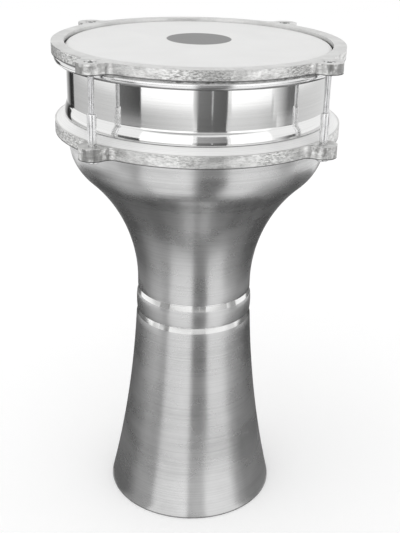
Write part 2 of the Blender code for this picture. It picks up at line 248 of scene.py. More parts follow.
def combine(obj, other, operation="DIFFERENCE"):
    """Take the other shape out of the object, or join it on, and throw the other away."""
    modifier = obj.modifiers.new("combine", "BOOLEAN")
    modifier.operation = operation
    modifier.solver = "EXACT"
    modifier.object = other
    graph = bpy.context.evaluated_depsgraph_get()
    mesh = bpy.data.meshes.new_from_object(obj.evaluated_get(graph))
    obj.modifiers.clear()
    obj.data = mesh
    bpy.data.objects.remove(other, do_unlink=True)
    return obj


def shell_shape():
    """The shell, its outline drawn down the outer side from the bearing edge and back up inside."""
    edge = BEARING_EDGE_RADIUS
    wall = WALL_THICKNESS
    bulge_centre = Vector((SHOULDER_RADIUS - SHOULDER_ROUND, shoulder_centre))
    fillet_centre = Vector((WALL_RADIUS + SHOULDER_FILLET, shoulder_top))
    bulge_top = tuple(bulge_centre.lerp(fillet_centre, SHOULDER_ROUND / fillet_reach))
    corner_centre = Vector((WALL_RADIUS - BOWL_CORNER_RADIUS, wall_start))
    arc_centre = Vector((NECK_RADIUS + BOWL_ARC_RADIUS, bowl_start))
    bend = tuple(corner_centre.lerp(arc_centre, BOWL_CORNER_RADIUS / bowl_reach))
    inner_bend = tuple(corner_centre.lerp(arc_centre, (BOWL_CORNER_RADIUS - wall) / bowl_reach))

    side = [(WALL_RADIUS - edge, shell_top)]
    side += arc(side[-1], (WALL_RADIUS, shell_top - edge), edge, 8)
    side.append((WALL_RADIUS, shoulder_top))
    side += arc(side[-1], bulge_top, -SHOULDER_FILLET, 8)
    side += arc(side[-1], (SHOULDER_RADIUS, shoulder_centre), SHOULDER_ROUND, 20)
    side += arc(side[-1], (SHOULDER_RADIUS - SHOULDER_EDGE, shoulder_bottom), SHOULDER_EDGE, 6)
    side += [(WALL_RADIUS, shoulder_bottom), (WALL_RADIUS, wall_start)]
    side += arc(side[-1], bend, BOWL_CORNER_RADIUS, 20)
    side += arc(side[-1], (NECK_RADIUS, bowl_start), -BOWL_ARC_RADIUS, 28)
    side += [(NECK_RADIUS, upper_groove_top), (NECK_RADIUS - GROOVE_DEPTH, upper_groove_top)]
    side.append((BAND_RADIUS, band_top))
    side += arc(side[-1], (BAND_RADIUS, band_bottom), crown_radius(BAND_HEIGHT, BAND_CROWN), 6)
    side += [(BAND_RADIUS - GROOVE_DEPTH, band_bottom), (THROAT_RADIUS, FOOT_HEIGHT)]
    side += arc(side[-1], (FOOT_RADIUS, 0.0), -FOOT_ARC_RADIUS, 24)
    side.append((FOOT_RADIUS - wall, 0.0))
    side += arc(side[-1], (NECK_RADIUS - wall, FOOT_HEIGHT), FOOT_ARC_RADIUS, 12)
    side.append((NECK_RADIUS - wall, bowl_start))
    side += arc(side[-1], inner_bend, BOWL_ARC_RADIUS + wall, 16)
    side += arc(side[-1], (WALL_RADIUS - wall, wall_start), -(BOWL_CORNER_RADIUS - wall), 10)
    side.append((WALL_RADIUS - wall, shell_top - EDGE_BREAK))
    return turned_piece(side, "turned_shell")


def hoop_shape():
    """The drumhead's hoop, crowned outside, with a slot in its bore for the film's lip."""
    inner = film_outer + CLEARANCE
    slot_radius = film_outer + FILM_LIP_WIDTH + CLEARANCE
    slot_bottom = film_lip - FILM_THICKNESS - CLEARANCE
    slot_top = film_lip + CLEARANCE
    shoulder = hoop_high.x - HOOP_CROWN
    bulge = crown_radius(hoop_high.z - hoop_low.z, HOOP_CROWN)
    side = [(inner, hoop_high.z), (shoulder, hoop_high.z)]
    side += arc(side[-1], (shoulder, hoop_low.z), bulge, 18)
    side += [(inner, hoop_low.z), (inner, slot_bottom), (slot_radius, slot_bottom)]
    side += [(slot_radius, slot_top), (inner, slot_top)]
    return turned_piece(side, "polished_hoop")


def film_shape():
    """The film: flat over the shell, bent down round the bearing edge, with a lip at its end."""
    inner = film_outer - FILM_THICKNESS
    under = film_top - FILM_THICKNESS
    bend = BEARING_EDGE_RADIUS + CLEARANCE + FILM_THICKNESS
    reach = film_outer + FILM_LIP_WIDTH
    side = [(0.0, film_top), (DISC_RADIUS, film_top), (film_outer - bend, film_top)]
    side += arc(side[-1], (film_outer, film_top - bend), bend, 10)
    side += [(film_outer, film_lip), (reach, film_lip), (reach, film_lip - FILM_THICKNESS)]
    side += [(inner, film_lip - FILM_THICKNESS), (inner, film_top - bend)]
    side += arc(side[-1], (film_outer - bend, under), -(bend - FILM_THICKNESS), 10)
    side.append((0.0, under))
    return finished(spun(side), "drum_skin")


def ring_plan(rim):
    """Points round a ring with its ears, a little over a millimetre apart."""
    fillet_arm = rim + EAR_FILLET_RADIUS
    tip_arm = EAR_TIP_RADIUS + EAR_FILLET_RADIUS
    arms = fillet_arm**2 + EAR_CIRCLE_RADIUS**2 - tip_arm**2
    turn = math.acos(arms / (2 * fillet_arm * EAR_CIRCLE_RADIUS))
    root = Vector(polar(rim, -turn))
    fillet_centre = root * fillet_arm / rim
    tip_centre = Vector((EAR_CIRCLE_RADIUS, 0.0))
    side = tip_centre.lerp(fillet_centre, EAR_TIP_RADIUS / tip_arm)
    half = [tuple(root)]
    half += arc(root, side, EAR_FILLET_RADIUS, 9)
    half += arc(side, (EAR_CIRCLE_RADIUS + EAR_TIP_RADIUS, 0.0), -EAR_TIP_RADIUS, 14)
    ear = half + [(x, -y) for x, y in reversed(half[:-1])]
    plan = []
    for place in EARS:
        angle = math.atan2(place.y, place.x)
        for x, y in ear:
            plan.append((
                x * math.cos(angle) - y * math.sin(angle),
                x * math.sin(angle) + y * math.cos(angle),
            ))
        sweep = TURN / EAR_COUNT - 2 * turn
        pieces = round(rim * sweep / PLAN_SPACING)
        for piece in range(1, pieces):
            plan.append(polar(rim, angle + turn + sweep * piece / pieces))
    return plan


def loop(bm, plan, height):
    """The edges of a closed line through the plan's points."""
    points = [bm.verts.new((x, y, height)) for x, y in plan]
    return [bm.edges.new(pair) for pair in zip(points, points[1:] + points[:1])]


def eared_ring(rim, bore, bottom, top):
    """A bmesh of a flat ring with ears and rounded edges, its outer side cut into rows."""
    bm = bmesh.new()
    outside = loop(bm, ring_plan(rim), bottom)
    circle = [polar(bore, TURN * step / BORE_STEPS) for step in range(BORE_STEPS)]
    inside = loop(bm, circle, bottom)
    bmesh.ops.triangle_fill(bm, edges=outside + inside, use_beauty=True, normal=(0, 0, 1))
    made = bmesh.ops.extrude_face_region(bm, geom=list(bm.faces), use_keep_orig=True)
    raised = [item for item in made["geom"] if isinstance(item, bmesh.types.BMVert)]
    bmesh.ops.translate(bm, verts=raised, vec=(0, 0, top - bottom))
    bmesh.ops.recalc_face_normals(bm, faces=bm.faces)
    square = math.radians(60)
    rims = [edge for edge in bm.edges if edge.is_manifold and edge.calc_face_angle() > square]
    bmesh.ops.bevel(
        bm, geom=rims, offset=RING_EDGE, offset_type="OFFSET", affect="EDGES", segments=3,
        profile=0.5, material=-1, clamp_overlap=True,
    )
    outer_zone = rim - 0.002
    uprights = []
    for edge in bm.edges:
        one, other = edge.verts
        run = abs(one.co.z - other.co.z)
        if run > (top - bottom) / 2 and one.co.xy.length > outer_zone:
            uprights.append(edge)
    bmesh.ops.subdivide_edges(bm, edges=uprights, cuts=SIDE_CUTS, use_grid_fill=True)
    return bm


def roughen(bm, rim, roughness, seed):
    """Ripple and pit the ring's outer side, as the mould left it."""
    ripple_scale = 320
    fine_scale = 2.7
    pit_scale = 1.6
    pit_offset = Vector((9, 9, 9))
    pit_start = 0.25
    facing_up = 0.9
    bm.normal_update()
    moves = {}
    for vert in bm.verts:
        if vert.co.xy.length < rim - EDGE_BREAK or abs(vert.normal.z) > facing_up:
            continue
        where = vert.co * ripple_scale + Vector((seed, 0, 0))
        coarse = noise.noise(where)
        fine = noise.noise(where * fine_scale)
        pit = max(0.0, noise.noise(where * pit_scale + pit_offset) - pit_start)
        depth = roughness * (0.5 * coarse + 0.3 * fine - 1.6 * pit - 0.4)
        moves[vert] = Vector((vert.normal.x, vert.normal.y, 0)) * depth
    for vert, move in moves.items():
        vert.co += move


def cast_ring_shape(name, rim, bore, bottom, top, roughness, seed):
    """A ring with ears: flat faces, rounded edges and a rough cast outer side."""
    bm = eared_ring(rim, bore, bottom, top)
    roughen(bm, rim, roughness, seed)
    return finished(bm, name, math.radians(50))


def ear_cutter(points, name):
    """One turned cutter on each ear."""
    bm = bmesh.new()
    single = spun(points, steps=CUTTER_SPIN_STEPS)
    mesh = bpy.data.meshes.new(name)
    single.to_mesh(mesh)
    single.free()
    for place in EARS:
        before = len(bm.verts)
        bm.from_mesh(mesh)
        bm.verts.ensure_lookup_table()
        bmesh.ops.translate(bm, verts=bm.verts[before:], vec=(place.x, place.y, 0))
    bpy.data.meshes.remove(mesh)
    return finished(bm, name)


def tension_ring_shape():
    """The upper ring, with a flared counterbore and a screw's hole in each ear."""
    ring = cast_ring_shape(
        "cast_tension_ring", ring_high.x, ring_inner, ring_low.z, ring_high.z, 0.00022, 3.0
    )
    seat = SCREW_HEAD_RADIUS + SEAT_GAP
    floor = screw_high.z - SCREW_HEAD_HEIGHT - CLEARANCE
    hole = SCREW_RADIUS + CLEARANCE
    above = ring_high.z + CUTTER_PAST
    below = ring_low.z - CUTTER_PAST
    points = [(0.0, above), (seat + SEAT_FLARE + CUTTER_PAST, above)]
    points += [(seat, ring_high.z - SEAT_FLARE), (seat, floor), (hole, floor)]
    points += [(hole, below), (0.0, below)]
    return combine(ring, ear_cutter(points, "screw_seats"))


def lower_ring_shape():
    """The eared ring with the sloping collar on it."""
    bore = WALL_RADIUS + CLEARANCE
    top = lower_ring_top
    ring = cast_ring_shape("cast_lower_ring", lower_high.x, bore, lower_low.z, top, 0.00026, 11.0)
    rooted = (lower_low.z + top) / 2
    slope_end = lower_high.x - 2 * RING_EDGE
    side = [(bore + RING_EDGE, lower_high.z), (SHOULDER_RADIUS, lower_high.z)]
    side += [(slope_end, top + COLLAR_STEP), (slope_end, rooted), (bore + RING_EDGE, rooted)]
    combine(ring, turned_piece(side, "ring_collar", COLLAR_EDGE), "UNION")
    hole = SLEEVE_NECK_RADIUS + CLEARANCE
    above = top + CUTTER_PAST
    below = lower_low.z - CUTTER_PAST
    points = [(0.0, above), (hole + EDGE_BREAK + CUTTER_PAST, above), (hole, top - EDGE_BREAK)]
    points += [(hole, below), (0.0, below)]
    return combine(ring, ear_cutter(points, "sleeve_holes"))


def thread_ridge(bottom, turns, root):
    """The ridge of a thread, wound turn by turn up from the bottom."""
    inside = root - THREAD_ROOTED
    # Each point's radius, and its height as a share of the pitch
    ridge = [
        (inside, 0.0), (root, 0.05), (SCREW_RADIUS, 0.42),
        (SCREW_RADIUS, 0.58), (root, 0.95), (inside, 1.0),
    ]
    bm = bmesh.new()
    line = [bm.verts.new((radius, 0.0, bottom + share * THREAD_PITCH)) for radius, share in ridge]
    edges = [bm.edges.new(pair) for pair in zip(line, line[1:] + line[:1])]
    bmesh.ops.spin(
        bm, geom=line + edges, cent=(0, 0, 0), axis=(0, 0, 1),
        dvec=(0, 0, THREAD_PITCH / SMALL_SPIN_STEPS), angle=TURN, steps=SMALL_SPIN_STEPS,
        use_merge=False, use_duplicate=False,
    )
    one_turn = list(bm.verts) + list(bm.edges) + list(bm.faces)
    for turn in range(1, turns):
        made = bmesh.ops.duplicate(bm, geom=one_turn)["geom"]
        verts = [item for item in made if isinstance(item, bmesh.types.BMVert)]
        bmesh.ops.translate(bm, verts=verts, vec=(0, 0, turn * THREAD_PITCH))
    bmesh.ops.remove_doubles(bm, verts=bm.verts, dist=2 * MERGE_DISTANCE)
    open_edges = [edge for edge in bm.edges if edge.is_boundary]
    bmesh.ops.holes_fill(bm, edges=open_edges, sides=len(ridge))
    bmesh.ops.recalc_face_normals(bm, faces=bm.faces)
    mesh = bpy.data.meshes.new("thread")
    bm.to_mesh(mesh)
    bm.free()
    return mesh


def screw_mesh():
    """A socket-head screw, threaded from its short plain shank to its end, on the Z axis."""
    top = screw_high.z
    under = top - SCREW_HEAD_HEIGHT
    tip = screw_low.z
    shank_end = under - PLAIN_SHANK
    start = tip + THREAD_END
    root = SCREW_RADIUS - THREAD_DEPTH
    side = [(0.0, top), (SCREW_HEAD_RADIUS, top), (SCREW_HEAD_RADIUS, under)]
    side += [(SCREW_RADIUS, under), (SCREW_RADIUS, shank_end), (root, shank_end - THREAD_DEPTH)]
    side += [(root, tip), (0.0, tip)]
    body = spun(softened(side, SCREW_HEAD_EDGE), steps=SMALL_SPIN_STEPS)
    socket = bmesh.new()
    corners = HEX_SOCKET_WIDTH / math.cos(math.pi / 6)
    bmesh.ops.create_cone(
        socket, cap_ends=True, segments=6, radius1=corners / 2, radius2=corners / 2,
        depth=2 * HEX_SOCKET_DEPTH, matrix=Matrix.Translation((0, 0, top)),
    )
    blank = combine(finished(body, "screw_blank"), finished(socket, "hex_socket"))
    turns = int((shank_end - THREAD_DEPTH / 2 - start) / THREAD_PITCH) - 1
    joined = bmesh.new()
    joined.from_mesh(blank.data)
    joined.from_mesh(thread_ridge(start, turns, root))
    bpy.data.objects.remove(blank, do_unlink=True)
    mesh = bpy.data.meshes.new("threaded_screw")
    joined.to_mesh(mesh)
    joined.free()
    return mesh


def sleeve_mesh():
    """A long nut: barrel with a chamfered mouth, neck through the ear, slotted head below it."""
    top = nut_high.z
    bottom = nut_low.z
    bore = SCREW_RADIUS + CLEARANCE / 2
    bore_bottom = screw_low.z - SLEEVE_BORE_SPARE
    barrel = lower_ring_top + SLEEVE_NECK_SHOWING
    head_top = bottom + SLEEVE_HEAD_HEIGHT
    side = [(0.0, bore_bottom), (bore, bore_bottom), (bore, top - EDGE_BREAK)]
    side += [(bore + EDGE_BREAK / 2, top), (SLEEVE_RADIUS - EDGE_BREAK, top)]
    side += [(SLEEVE_RADIUS, top - EDGE_BREAK), (SLEEVE_RADIUS, barrel + EDGE_BREAK)]
    side += [(SLEEVE_NECK_RADIUS, barrel), (SLEEVE_NECK_RADIUS, head_top)]
    side += [(SLEEVE_HEAD_RADIUS, head_top), (SLEEVE_HEAD_RADIUS, bottom + EDGE_BREAK)]
    side += [(SLEEVE_HEAD_RADIUS - EDGE_BREAK, bottom), (0.0, bottom)]
    body = spun(softened(side, SLEEVE_EDGE, steps=2), steps=SMALL_SPIN_STEPS)
    slot = bmesh.new()
    length = 4 * SLEEVE_HEAD_RADIUS
    size = Matrix.Diagonal((length, SLEEVE_SLOT_WIDTH, 2 * SLEEVE_SLOT_DEPTH, 1.0))
    bmesh.ops.create_cube(slot, size=1.0, matrix=Matrix.Translation((0, 0, bottom)) @ size)
    blank = combine(finished(body, "sleeve_blank"), finished(slot, "head_slot"))
    mesh = blank.data
    bpy.data.objects.remove(blank, do_unlink=True)
    return mesh


def stood_at(mesh, place, name):
    """A copy of a mesh moved from the Z axis to an ear's centre, one side facing the drum's axis."""
    bm = bmesh.new()
    bm.from_mesh(mesh)
    turn = Matrix.Rotation(math.atan2(place.y, place.x), 3, "Z")
    bmesh.ops.rotate(bm, verts=bm.verts, matrix=turn)
    bmesh.ops.translate(bm, verts=bm.verts, vec=(place.x, place.y, 0))
    return finished(bm, name)


def add(tree, kind, feeds=None, **settings):
    """Add a shader node, with its settings and what feeds its inputs: a value, or a socket."""
    node = tree.nodes.new(kind)
    for key, value in settings.items():
        setattr(node, key, value)
    for key, value in (feeds or {}).items():
        if isinstance(value, bpy.types.NodeSocket):
            tree.links.new(value, node.inputs[key])
        else:
            node.inputs[key].default_value = value
    return node


def new_finish(name, metallic, roughness):
    """A material, its node tree, its shader and its object coordinates."""
    material = bpy.data.materials.new(name)
    material.use_nodes = True
    tree = material.node_tree
    shader = tree.nodes["Principled BSDF"]
    shader.inputs["Metallic"].default_value = metallic
    shader.inputs["Roughness"].default_value = roughness
    coords = add(tree, "ShaderNodeTexCoord").outputs["Object"]
    return material, tree, shader, coords


def lathe_sheen(shader, strength):
    """Stretch the reflections across the fine lines that a lathe leaves."""
    shader.inputs["Anisotropic"].default_value = strength
    shader.inputs["Anisotropic Rotation"].default_value = 0.25


def grey(level, blue=None):
    """A colour with the same red and green, and blue too unless it is given."""
    return level, level, level if blue is None else blue, 1.0


def grain(tree, coords, scale, detail=2.0, roughness=0.5):
    """Noise stretched by a scale along each axis."""
    placed = add(tree, "ShaderNodeMapping", {"Vector": coords, "Scale": scale})
    feeds = {"Vector": placed.outputs[0], "Scale": 1.0, "Detail": detail, "Roughness": roughness}
    return add(tree, "ShaderNodeTexNoise", feeds).outputs["Fac"]


def ramp(tree, value, stops, constant=False):
    """Grey levels along a value; each stop is (position, level)."""
    node = add(tree, "ShaderNodeValToRGB", {"Fac": value})
    node.color_ramp.interpolation = "CONSTANT" if constant else "LINEAR"
    points = node.color_ramp.elements
    while len(points) < len(stops):
        points.new(0.5)
    for point, (position, _level) in zip(points, sorted(stops)):
        point.position = position
    for point, (_position, level) in zip(points, sorted(stops)):
        point.color = grey(level)
    return node.outputs["Color"]


def sums(tree, operation, one, other):
    """The two values added, multiplied or compared, by the name of the sum."""
    return add(tree, "ShaderNodeMath", {0: one, 1: other}, operation=operation).outputs[0]


def spread(tree, value, low, high, to_low, to_high):
    """The value taken from one range to another, and held at the ends."""
    feeds = {"Value": value, "From Min": low, "From Max": high, "To Min": to_low, "To Max": to_high}
    return add(tree, "ShaderNodeMapRange", feeds).outputs["Result"]


def between(tree, share, one, other):
    """A number that goes from one to the other as the share goes from 0 to 1."""
    feeds = {"Factor": share, "A": one, "B": other}
    return add(tree, "ShaderNodeMix", feeds, data_type="FLOAT").outputs[0]


def tint(tree, share, one, other):
    """A colour that goes from one to the other as the share goes from 0 to 1."""
    return add(tree, "ShaderNodeMix", {0: share, 6: one, 7: other}, data_type="RGBA").outputs[2]


def apart(tree, coords):
    """The three coordinates by themselves."""
    return add(tree, "ShaderNodeSeparateXYZ", {"Vector": coords}).outputs


def reach_of(tree, across, along):
    """How far a point is from the drum's axis, by its places across and along the floor."""
    flat = add(tree, "ShaderNodeCombineXYZ", {"X": across, "Y": along}).outputs[0]
    return add(tree, "ShaderNodeVectorMath", {0: flat}, operation="LENGTH").outputs["Value"]


def shaded(tree, coords, colour, dark_height, clear_height):
    """A colour darkened between two heights by a painted shade along an edge, less on the underside.
    """
    normal = add(tree, "ShaderNodeNewGeometry").outputs["Normal"]
    # Painted shade: the colour goes dark between the two heights, standing in for the shadow where
    # parts meet
    painted_edge_shade = spread(tree, apart(tree, coords)["Z"], dark_height, clear_height, 1.0, 0.0)
    upright = spread(tree, apart(tree, normal)["Z"], -0.98, -0.8, 0.25, 1.0)
    return tint(tree, sums(tree, "MULTIPLY", painted_edge_shade, upright), colour, grey(0.12))


def feed(tree, shader, colour, roughness=None):
    """Lead a colour, and a roughness where there is one, to the shader."""
    tree.links.new(colour, shader.inputs["Base Color"])
    if roughness is not None:
        tree.links.new(roughness, shader.inputs["Roughness"])


def bump(tree, shader, height, distance, strength):
    """Raise the surface by a height that goes from 0 to 1."""
    feeds = {"Height": height, "Distance": distance, "Strength": strength}
    made = add(tree, "ShaderNodeBump", feeds)
    tree.links.new(made.outputs["Normal"], shader.inputs["Normal"])


def turned_finish():
    """Aluminium turned on a lathe: satin from foot to bowl, polished wall, shoulder and grooves."""
    material, tree, shader, coords = new_finish("turned_aluminium", 1.0, 0.3)
    lathe_sheen(shader, 0.7)
    span = 0.5
    height = sums(tree, "DIVIDE", apart(tree, coords)["Z"], span)
    polish_start = shoulder_bottom - 0.001
    painted_shade_end = 0.0016
    # Satin where a stretch starts with 0, polished where it starts with 1
    edges = [
        (0.0, 0.0), (FOOT_HEIGHT / span, 1.0), (band_bottom / span, 0.0), (band_top / span, 1.0),
        (upper_groove_top / span, 0.0), (polish_start / span, 1.0),
    ]
    polish = ramp(tree, height, edges, constant=True)
    fine = grain(tree, coords, (2.0, 2.0, 1300.0), 2.0)
    broad = grain(tree, coords, (3.0, 3.0, 480.0), 2.0)
    cloud = grain(tree, coords, (16.0, 16.0, 26.0), 6.0, 0.6)
    lines = sums(tree, "ADD", sums(tree, "MULTIPLY", fine, 0.6), sums(tree, "MULTIPLY", broad, 0.4))
    worn = sums(tree, "ADD", sums(tree, "MULTIPLY", lines, 0.5), sums(tree, "MULTIPLY", cloud, 0.5))
    dull = tint(tree, spread(tree, worn, 0.4, 0.6, 0.0, 1.0), grey(0.54), grey(0.68))
    bright = tint(
        tree, spread(tree, lines, 0.35, 0.65, 0.0, 1.0), grey(0.82, 0.815), grey(0.88, 0.875)
    )
    # Painted shade darkens the foot's bottom edge, from 0.4 to 1.6 mm above the floor
    colour = shaded(tree, coords, tint(tree, polish, dull, bright), EDGE_BREAK, painted_shade_end)
    satin = spread(tree, cloud, 0.25, 0.75, 0.22, 0.33)
    feed(tree, shader, colour, between(tree, polish, satin, 0.085))
    return material


def polished_finish():
    """The hoop's bright metal, with faint lines round it and a painted shade along its lower edge."""
    material, tree, shader, coords = new_finish("polished_hoop_metal", 1.0, 0.12)
    # Painted shade for the gap under the hoop, from 0.4 to 2.2 mm above its bottom
    painted_shade_start = hoop_low.z + 0.0004
    painted_shade_end = hoop_low.z + 0.0022
    fine = grain(tree, coords, (2.0, 2.0, 2600.0), 3.0)
    colour = tint(tree, spread(tree, fine, 0.3, 0.7, 0.0, 1.0), grey(0.77), grey(0.85))
    edged = shaded(tree, coords, colour, painted_shade_start, painted_shade_end)
    feed(tree, shader, edged, spread(tree, fine, 0.3, 0.7, 0.08, 0.2))
    bump(tree, shader, fine, 0.00001, 0.5)
    return material


def cast_finish(name, face_height, foot_height):
    """Cast metal: ragged outside, dressed in places, machined on its upper face and in its bore, with
    a painted shade along its lower edge.
    """
    material, tree, shader, coords = new_finish(name, 1.0, 0.4)
    face_start = face_height - 0.0003
    bore_end = ring_inner + 0.001
    rim_end = ring_high.x + 0.0006
    ear_start = ring_high.x + 0.0016
    # Painted shade along the ring's lower edge, from 0.3 to 1.1 mm above its bottom
    painted_shade_start = foot_height + 0.0003
    painted_shade_end = foot_height + 0.0011
    place = apart(tree, coords)
    reach = reach_of(tree, place["X"], place["Y"])
    faced = sums(tree, "GREATER_THAN", place["Z"], face_start)
    bored = sums(tree, "LESS_THAN", reach, bore_end)
    machined = sums(tree, "MAXIMUM", faced, bored)

    # The outer side: coarse casting in patches, dressed metal between them
    mottle = grain(tree, coords, (280.0, 280.0, 1100.0), 5.0, 0.65)
    grit = grain(tree, coords, (900.0, 900.0, 1500.0), 2.0, 0.6)
    pits = spread(tree, grain(tree, coords, (420.0, 420.0, 1300.0), 3.0, 0.6), 0.56, 0.66, 1.0, 0.25)
    coarse = sums(tree, "MULTIPLY", spread(tree, mottle, 0.38, 0.58, 0.24, 1.0), pits)
    brushed = grain(tree, coords, (90.0, 90.0, 200.0), 4.0, 0.6)
    dressed = spread(tree, brushed, 0.38, 0.56, 0.48, 1.0)
    patch = spread(tree, grain(tree, coords, (15.0, 15.0, 8.0), 1.0), 0.41, 0.5, 0.35, 1.0)
    ragged = sums(tree, "MULTIPLY", patch, spread(tree, reach, rim_end, ear_start, 1.0, 0.4))

    # Dark blotches in random patches, on the ears alone
    ear_blotch_noise = grain(tree, coords, (130.0, 130.0, 60.0), 3.0, 0.6)
    blotch = spread(tree, ear_blotch_noise, 0.44, 0.52, 0.35, 1.0)
    off_ears = spread(tree, reach, rim_end, ear_start, 1.0, 0.0)
    ear_blotched = sums(tree, "MAXIMUM", blotch, off_ears)
    raw = sums(tree, "MULTIPLY", between(tree, ragged, dressed, coarse), ear_blotched)

    calm = spread(tree, grain(tree, coords, (60.0, 60.0, 60.0), 5.0, 0.6), 0.3, 0.7, 0.58, 0.78)
    light = between(tree, machined, raw, calm)
    colour = tint(tree, light, grey(0.16, 0.155), grey(0.95, 0.94))
    edged = shaded(tree, coords, colour, painted_shade_start, painted_shade_end)
    rough = spread(tree, mottle, 0.3, 0.7, 0.5, 0.28)
    feed(tree, shader, edged, between(tree, machined, rough, 0.34))
    relief = sums(tree, "ADD", sums(tree, "MULTIPLY", mottle, 0.7), sums(tree, "MULTIPLY", grit, 0.3))
    rugged = sums(tree, "MULTIPLY", relief, ragged)
    calmed = sums(tree, "MULTIPLY", rugged, spread(tree, machined, 0.0, 1.0, 1.0, 0.06))
    bump(tree, shader, calmed, 0.00018, 0.8)
    return material


def collar_finish():
    """The lower ring's collar, turned bright, with fine lines round it."""
    material, tree, shader, coords = new_finish("turned_collar", 0.35, 0.4)
    lathe_sheen(shader, 0.8)
    place = apart(tree, coords)
    reach = reach_of(tree, place["X"], place["Y"])
    line_coords = add(tree, "ShaderNodeCombineXYZ", {"Z": reach}).outputs[0]
    lines = grain(tree, line_coords, (1.0, 1.0, 1600.0), 3.0)
    light = spread(tree, lines, 0.35, 0.65, 0.0, 1.0)
    colour = tint(tree, light, grey(0.86, 0.855), grey(1.0, 0.995))
    feed(tree, shader, colour, spread(tree, lines, 0.3, 0.7, 0.36, 0.5))
    bump(tree, shader, lines, 0.00003, 0.6)
    return material


def dress_collar(ring):
    """Give the faces of the ring's collar their own finish."""
    ring.data.materials.append(collar_finish())
    for face in ring.data.polygons:
        if face.center.z > lower_ring_top + COLLAR_STEP / 2:
            face.material_index = 1


def plated_finish(name, roughness):
    """Bright plating, a little clouded."""
    material, tree, shader, coords = new_finish(name, 1.0, roughness)
    cloud = grain(tree, coords, (500.0, 500.0, 180.0), 3.0)
    share = spread(tree, cloud, 0.3, 0.7, 0.75, 1.0)
    colour = tint(tree, share, grey(0.3, 0.305), grey(0.95, 0.955))
    feed(tree, shader, colour, spread(tree, cloud, 0.3, 0.7, roughness * 0.7, roughness * 1.4))
    bump(tree, shader, cloud, 0.00002, 0.4)
    return material


def skin_finish():
    """White plastic film with a plain grey disc printed behind its centre and a painted shade on its
    rim, where it goes down into the gap.
    """
    material, tree, shader, coords = new_finish("white_film", 0.0, 0.42)
    place = apart(tree, coords)
    blur = 0.00025
    disc_reach = reach_of(tree, place["X"], sums(tree, "SUBTRACT", place["Y"], DISC_BACK))
    printed = spread(tree, disc_reach, DISC_RADIUS - blur, DISC_RADIUS + blur, 1.0, 0.0)
    cloud = grain(tree, coords, (30.0, 30.0, 30.0), 4.0)
    grit = grain(tree, coords, (2400.0, 2400.0, 2400.0), 2.0)
    clouded = spread(tree, cloud, 0.3, 0.7, 0.0, 1.0)
    gritty = spread(tree, grit, 0.3, 0.7, 0.0, 1.0)
    white = tint(tree, clouded, grey(0.735, 0.73), grey(0.765, 0.76))
    ink = tint(tree, gritty, grey(0.155), grey(0.185))
    reach = reach_of(tree, place["X"], place["Y"])
    # Painted shade: the film turns near black where it bends down beside the ring's bore
    painted_rim_shade = spread(tree, reach, film_outer - 0.0008, film_outer - 0.0003, 0.0, 1.0)
    feed(tree, shader, tint(tree, painted_rim_shade, tint(tree, printed, white, ink), grey(0.06)))
    bump(tree, shader, grit, 0.000015, 0.5)
    return material


def dress(obj, material, body, slot, *nodes):
    """Give a piece its finish, the body it rides on and the nodes it stands for; its slot is not
    used.
    """
    obj.data.materials.clear()
    obj.data.materials.append(material)
    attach(obj, body)
    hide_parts(*nodes)
    return obj


def build_drum():
    """Every piece in its finish, on its body, in place of the node that it stands for."""
    dress(shell_shape(), turned_finish(), "drum_body", "shell_metal", "shell")
    cast_low = cast_finish("cast_lower_metal", lower_ring_top, lower_low.z)
    dress_collar(dress(lower_ring_shape(), cast_low, "drum_body", "cast_metal", "lower_ring"))
    cast_top = cast_finish("cast_rim_metal", ring_high.z, ring_low.z)
    dress(tension_ring_shape(), cast_top, "head_assembly", "cast_metal", "tension_ring")
    dress(hoop_shape(), polished_finish(), "head_assembly", "hoop_metal", "flesh_hoop")
    dress(film_shape(), skin_finish(), "head_assembly", "head_plastic", "head_film")
    steel = plated_finish("plated_screw_steel", 0.12)
    bright = plated_finish("plated_sleeve_steel", 0.26)
    screw = screw_mesh()
    sleeve = sleeve_mesh()
    for number, place in enumerate(EARS, start=1):
        rod = stood_at(screw, place, f"threaded_screw_{number}")
        dress(rod, steel, f"screw_{number}", "plated_steel", f"tension_screw_{number}")
        nut = stood_at(sleeve, place, f"bright_sleeve_{number}")
        dress(nut, bright, "drum_body", "plated_steel", f"sleeve_nut_{number}")


def light_studio():
    """An even white surround, pure white where it is seen, and one soft lamp overhead."""
    surround_level = 0.97
    seen_level = 1.0
    world = bpy.data.worlds.new("studio")
    bpy.context.scene.world = world
    world.use_nodes = True
    tree = world.node_tree
    sky = tree.nodes["Background"].inputs
    sky["Color"].default_value = grey(1.0)
    seen = add(tree, "ShaderNodeLightPath").outputs["Is Camera Ray"]
    tree.links.new(between(tree, seen, surround_level, seen_level), sky["Strength"])
    lamp = bpy.data.lights.new("overhead_softbox", "AREA")
    lamp.shape = "RECTANGLE"
    lamp.size = 1.6
    lamp.size_y = 1.2
    lamp.energy = 3.0
    softbox = bpy.data.objects.new("overhead_softbox", lamp)
    softbox.location = (-0.5, -0.5, 1.9)
    aim = Vector((0, 0, 0.2)) - softbox.location
    softbox.rotation_euler = aim.to_track_quat("-Z", "Y").to_euler()
    bpy.context.scene.collection.objects.link(softbox)


